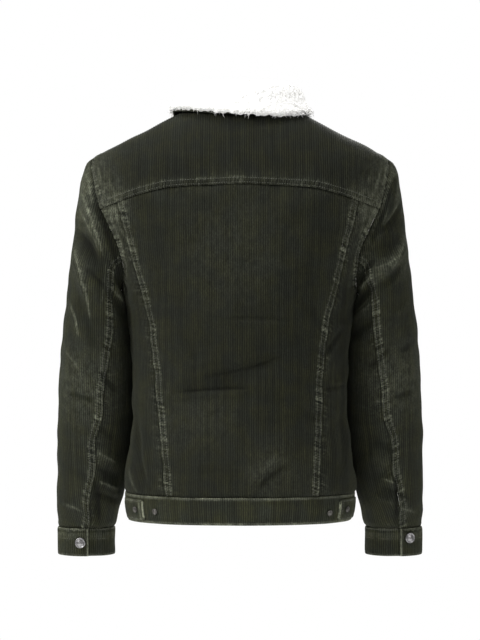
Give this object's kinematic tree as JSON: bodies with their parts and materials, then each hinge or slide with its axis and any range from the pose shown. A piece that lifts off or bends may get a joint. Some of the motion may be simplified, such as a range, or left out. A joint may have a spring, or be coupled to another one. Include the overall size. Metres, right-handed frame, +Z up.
{
  "type": "sherpa lined corduroy jacket, worn shape with no wearer",
  "caption": "Short corduroy jacket with a pile fold-over collar, back yoke, waistband with side tabs and buttoned cuffs, filled out as worn, with open neck, hem and sleeves.",
  "frame": {"origin": "middle of the neck opening, level with the tops of the shoulders, where the wearer carries the jacket", "axes": "+X to the wearer's left, +Y to the wearer's back, +Z up"},
  "size_m": [0.5931, 0.279, 0.7547],
  "materials": {
    "corduroy": "dark olive corduroy with 3.6 mm wales, matt nap, worn paler along the seams",
    "fleece": "off-white curly pile, matt",
    "button_metal": "dull antique nickel over brass, satin"
  },
  "bodies": {
    "root": {"back_yoke": "corduroy", "back_centre": "corduroy", "back_side_left": "corduroy", "back_side_right": "corduroy", "front_left": "corduroy", "front_right": "corduroy", "sleeve_top_left": "corduroy", "sleeve_under_left": "corduroy", "sleeve_top_right": "corduroy", "sleeve_under_right": "corduroy", "cuff_left": "corduroy", "cuff_right": "corduroy", "waistband": "corduroy", "waist_tab_left": "corduroy", "waist_tab_right": "corduroy", "undercollar": "corduroy", "collar": "fleece", "front_button_1": "button_metal", "front_button_2": "button_metal", "front_button_3": "button_metal", "front_button_4": "button_metal", "front_button_5": "button_metal", "waistband_button": "button_metal", "cuff_button_left": "button_metal", "cuff_button_right": "button_metal", "tab_button_left": "button_metal", "tab_button_right": "button_metal", "spare_button_left": "button_metal", "spare_button_right": "button_metal"}
  },
  "joints": []
}
